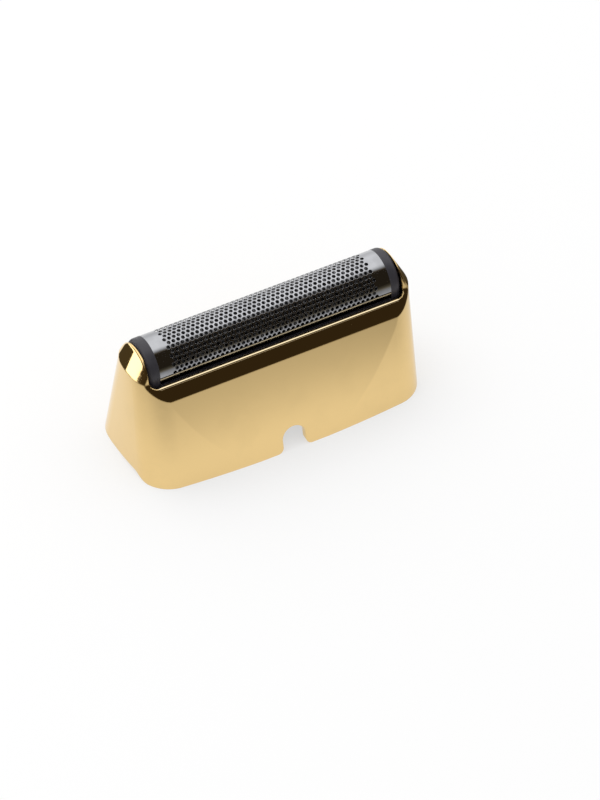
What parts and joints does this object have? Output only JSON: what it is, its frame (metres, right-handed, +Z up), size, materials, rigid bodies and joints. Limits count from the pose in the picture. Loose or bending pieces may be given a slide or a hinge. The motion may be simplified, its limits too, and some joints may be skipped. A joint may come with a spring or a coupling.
{
  "type": "shaver foil head",
  "caption": "Flared mirror-plated hood with an arched perforated foil between two D-shaped caps, over a sliding bar of thin arched cutter blades.",
  "frame": {"origin": "middle of the hood's base, on the surface it rests on", "axes": "+X along the foil, -Y towards the front with the notch, +Z up through the foil"},
  "size_m": [0.054, 0.0246, 0.0258],
  "materials": {
    "gold_plating": "mirror-bright gold plating",
    "foil_steel": "bright rolled steel foil",
    "cap_plastic": "satin black moulding",
    "frame_plastic": "black moulding",
    "spring_steel": "ground spring steel",
    "carrier_plastic": "black moulding",
    "blade_steel": "ground blade steel"
  },
  "bodies": {
    "head": {"hood": "gold_plating", "foil": "foil_steel", "end_cap_left": "cap_plastic", "end_cap_right": "cap_plastic", "foil_rail_front": "cap_plastic", "foil_rail_back": "cap_plastic", "cassette_frame": "frame_plastic", "chassis": "frame_plastic", "catch_spring_left": "spring_steel", "catch_spring_right": "spring_steel"},
    "cutter": {"cutter_carrier": "carrier_plastic", "cross_pin": "spring_steel", "blade_01": "blade_steel", "blade_02": "blade_steel", "blade_03": "blade_steel", "blade_04": "blade_steel", "blade_05": "blade_steel", "blade_06": "blade_steel", "blade_07": "blade_steel", "blade_08": "blade_steel", "blade_09": "blade_steel", "blade_10": "blade_steel", "blade_11": "blade_steel", "blade_12": "blade_steel", "blade_13": "blade_steel", "blade_14": "blade_steel", "blade_15": "blade_steel", "blade_16": "blade_steel", "blade_17": "blade_steel", "blade_18": "blade_steel", "blade_19": "blade_steel", "blade_20": "blade_steel", "blade_21": "blade_steel", "blade_22": "blade_steel", "blade_23": "blade_steel", "blade_24": "blade_steel", "blade_25": "blade_steel", "blade_26": "blade_steel", "blade_27": "blade_steel", "blade_28": "blade_steel", "blade_29": "blade_steel", "blade_30": "blade_steel", "blade_31": "blade_steel"}
  },
  "joints": [
    {"name": "cutter_stroke", "type": "slide", "parent": "head", "child": "cutter", "axis": [1, 0, 0], "range_m": [-0.0011, 0.0011]}
  ]
}
